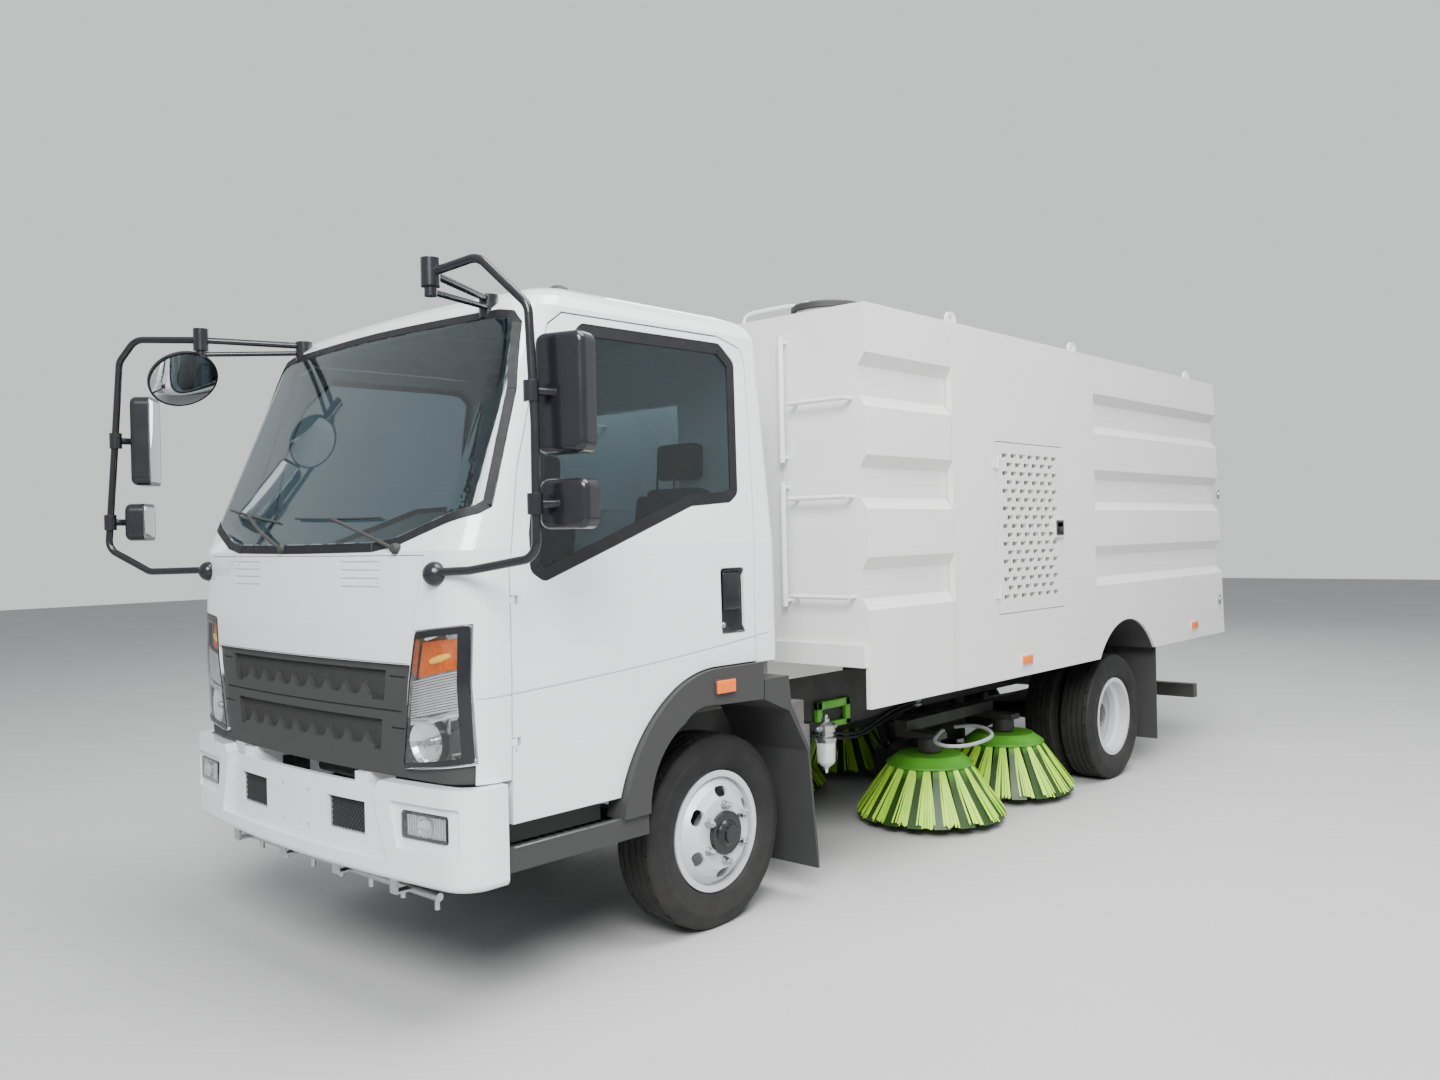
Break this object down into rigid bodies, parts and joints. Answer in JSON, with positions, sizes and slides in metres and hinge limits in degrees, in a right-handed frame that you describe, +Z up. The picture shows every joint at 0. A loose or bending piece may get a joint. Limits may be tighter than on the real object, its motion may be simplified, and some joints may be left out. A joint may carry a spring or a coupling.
{
  "type": "street sweeper truck",
  "caption": "White two-axle cab-over street sweeper truck with water tank, tipping dirt hopper, disc brushes between the axles and a suction nozzle.",
  "frame": {"origin": "on the ground under the middle of the vehicle's bounding box", "axes": "X forward along the vehicle, Y to its left, Z up"},
  "size_m": [6.8682, 2.5712, 2.633],
  "materials": {
    "cab_paint": "gloss white",
    "body_paint": "gloss warm white",
    "frame_paint": "satin black",
    "cast_metal": "matt",
    "spring_steel": "dark",
    "steel": "satin",
    "wheel_silver": "silver",
    "chrome": "polished",
    "black_plastic": "grained",
    "dark_trim": "grained",
    "seat_fabric": "woven",
    "glass": "tinted",
    "lamp": "clear",
    "gauge_tube": "clear",
    "bristle": "bristle",
    "tyre": "matt"
  },
  "bodies": {
    "chassis": {"chassis_frame": "frame_paint", "engine_blocks": "cast_metal", "front_axle": "frame_paint", "rear_axle": "frame_paint", "leaf_springs": "spring_steel", "water_tank": "body_paint", "level_gauges": "gauge_tube", "mudguards": "black_plastic", "underrun_bar": "frame_paint", "fuel_tank": "frame_paint", "side_gear": "cast_metal", "suction_duct": "black_plastic"},
    "cab": {"cab_shell": "cab_paint", "cab_glass": "glass", "front_panel": "cab_paint", "grille": "black_plastic", "headlamps": "lamp", "cab_fenders": "black_plastic", "bumper": "cab_paint", "fog_lamps": "lamp", "spray_bar": "steel", "dashboard": "dark_trim", "seats": "seat_fabric", "steering_wheel": "dark_trim", "mirrors": "black_plastic"},
    "door_left": {"door_left": "cab_paint", "door_glass_left": "glass"},
    "door_right": {"door_right": "cab_paint", "door_glass_right": "glass"},
    "knuckle_left": {"knuckle_left": "cast_metal"},
    "knuckle_right": {"knuckle_right": "cast_metal"},
    "wheel_front_left": {"tyre_front_left": "tyre", "rim_front_left": "wheel_silver"},
    "wheel_front_right": {"tyre_front_right": "tyre", "rim_front_right": "wheel_silver"},
    "wheels_rear_left": {"tyres_rear_left": "tyre", "rims_rear_left": "wheel_silver"},
    "wheels_rear_right": {"tyres_rear_right": "tyre", "rims_rear_right": "wheel_silver"},
    "hopper": {"hopper_shell": "body_paint", "hopper_side_left": "body_paint", "hopper_side_right": "body_paint", "hopper_roof": "body_paint"},
    "rear_door": {"rear_door": "body_paint"},
    "engine_door_left": {"engine_door_left": "body_paint"},
    "engine_door_right": {"engine_door_right": "body_paint"},
    "tank_lid": {"tank_lid": "black_plastic"},
    "brush_arm_left": {"brush_arm_left": "frame_paint"},
    "brush_arm_right": {"brush_arm_right": "frame_paint"},
    "brush_front_left": {"brush_front_left": "bristle"},
    "brush_front_right": {"brush_front_right": "bristle"},
    "brush_rear_left": {"brush_rear_left": "bristle"},
    "brush_rear_right": {"brush_rear_right": "bristle"},
    "suction_nozzle": {"suction_nozzle": "frame_paint"},
    "lift_barrels": {"lift_barrels": "frame_paint"},
    "lift_rods": {"lift_rods": "chrome"}
  },
  "joints": [
    {"name": "cab_tilt", "type": "hinge", "parent": "chassis", "child": "cab", "pos_m": [2.988, 0, 0.7], "axis": [0, 1, 0], "range_deg": [0, 45]},
    {"name": "door_left_hinge", "type": "hinge", "parent": "cab", "child": "door_left", "pos_m": [2.958, 0.929, 1.13], "axis": [0, 0, -1], "range_deg": [0, 70]},
    {"name": "door_right_hinge", "type": "hinge", "parent": "cab", "child": "door_right", "pos_m": [2.958, -0.929, 1.13], "axis": [0, 0, 1], "range_deg": [0, 70]},
    {"name": "steer_left", "type": "hinge", "parent": "chassis", "child": "knuckle_left", "pos_m": [1.908, 0.655, 0.3835], "axis": [0, 0, 1], "range_deg": [-35, 35]},
    {"name": "steer_right", "type": "hinge", "parent": "chassis", "child": "knuckle_right", "pos_m": [1.908, -0.655, 0.3835], "axis": [0, 0, 1], "range_deg": [-35, 35]},
    {"name": "spin_front_left", "type": "hinge", "parent": "knuckle_left", "child": "wheel_front_left", "pos_m": [1.908, 0.76, 0.3835], "axis": [0, 1, 0], "continuous": true},
    {"name": "spin_front_right", "type": "hinge", "parent": "knuckle_right", "child": "wheel_front_right", "pos_m": [1.908, -0.76, 0.3835], "axis": [0, 1, 0], "continuous": true},
    {"name": "spin_rear_left", "type": "hinge", "parent": "chassis", "child": "wheels_rear_left", "pos_m": [-1.652, 0.7465, 0.3835], "axis": [0, 1, 0], "continuous": true},
    {"name": "spin_rear_right", "type": "hinge", "parent": "chassis", "child": "wheels_rear_right", "pos_m": [-1.652, -0.7465, 0.3835], "axis": [0, 1, 0], "continuous": true},
    {"name": "hopper_tip", "type": "hinge", "parent": "chassis", "child": "hopper", "pos_m": [-3.042, 0, 0.8], "axis": [0, -1, 0], "range_deg": [0, 45]},
    {"name": "rear_door_hinge", "type": "hinge", "parent": "hopper", "child": "rear_door", "pos_m": [-3.231, 0, 2.585], "axis": [0, 1, 0], "range_deg": [0, 80]},
    {"name": "engine_door_left_hinge", "type": "hinge", "parent": "hopper", "child": "engine_door_left", "pos_m": [-0.075, 1.038, 1.565], "axis": [0, 0, -1], "range_deg": [0, 110]},
    {"name": "engine_door_right_hinge", "type": "hinge", "parent": "hopper", "child": "engine_door_right", "pos_m": [-0.075, -1.038, 1.565], "axis": [0, 0, 1], "range_deg": [0, 110]},
    {"name": "tank_lid_hinge", "type": "hinge", "parent": "chassis", "child": "tank_lid", "pos_m": [0.732, 0.7, 2.597], "axis": [0, -1, 0], "range_deg": [0, 100]},
    {"name": "brush_arm_left_lift", "type": "hinge", "parent": "chassis", "child": "brush_arm_left", "pos_m": [-0.482, 0.3, 0.52], "axis": [1, 0, 0], "range_deg": [0, 15]},
    {"name": "brush_arm_right_lift", "type": "hinge", "parent": "chassis", "child": "brush_arm_right", "pos_m": [-0.482, -0.3, 0.52], "axis": [-1, 0, 0], "range_deg": [0, 15]},
    {"name": "spin_brush_front_left", "type": "hinge", "parent": "brush_arm_left", "child": "brush_front_left", "pos_m": [-0.072, 0.6, 0.35], "axis": [0, 0, 1], "continuous": true},
    {"name": "spin_brush_rear_left", "type": "hinge", "parent": "brush_arm_left", "child": "brush_rear_left", "pos_m": [-0.892, 0.6, 0.35], "axis": [0, 0, 1], "continuous": true},
    {"name": "spin_brush_front_right", "type": "hinge", "parent": "brush_arm_right", "child": "brush_front_right", "pos_m": [-0.072, -0.6, 0.35], "axis": [0, 0, 1], "continuous": true},
    {"name": "spin_brush_rear_right", "type": "hinge", "parent": "brush_arm_right", "child": "brush_rear_right", "pos_m": [-0.892, -0.6, 0.35], "axis": [0, 0, 1], "continuous": true},
    {"name": "nozzle_lift", "type": "hinge", "parent": "chassis", "child": "suction_nozzle", "pos_m": [-0.592, 0, 0.524], "axis": [0, 1, 0], "range_deg": [0, 8]},
    {"name": "lift_swing", "type": "hinge", "parent": "chassis", "child": "lift_barrels", "pos_m": [-2.392, 0, 0.62], "axis": [0, -1, 0], "range_deg": [0, 57.8]},
    {"name": "lift_stroke", "type": "slide", "parent": "lift_barrels", "child": "lift_rods", "axis": [0.9829, 0, 0.1842], "range_m": [0, 0.43]}
  ],
  "couplings": [
    {"joint": "steer_right", "follows": "steer_left", "ratio": 1},
    {"joint": "lift_swing", "follows": "hopper_tip", "ratio": 1.28},
    {"joint": "lift_stroke", "follows": "hopper_tip", "m_per_rad": 0.5411}
  ]
}
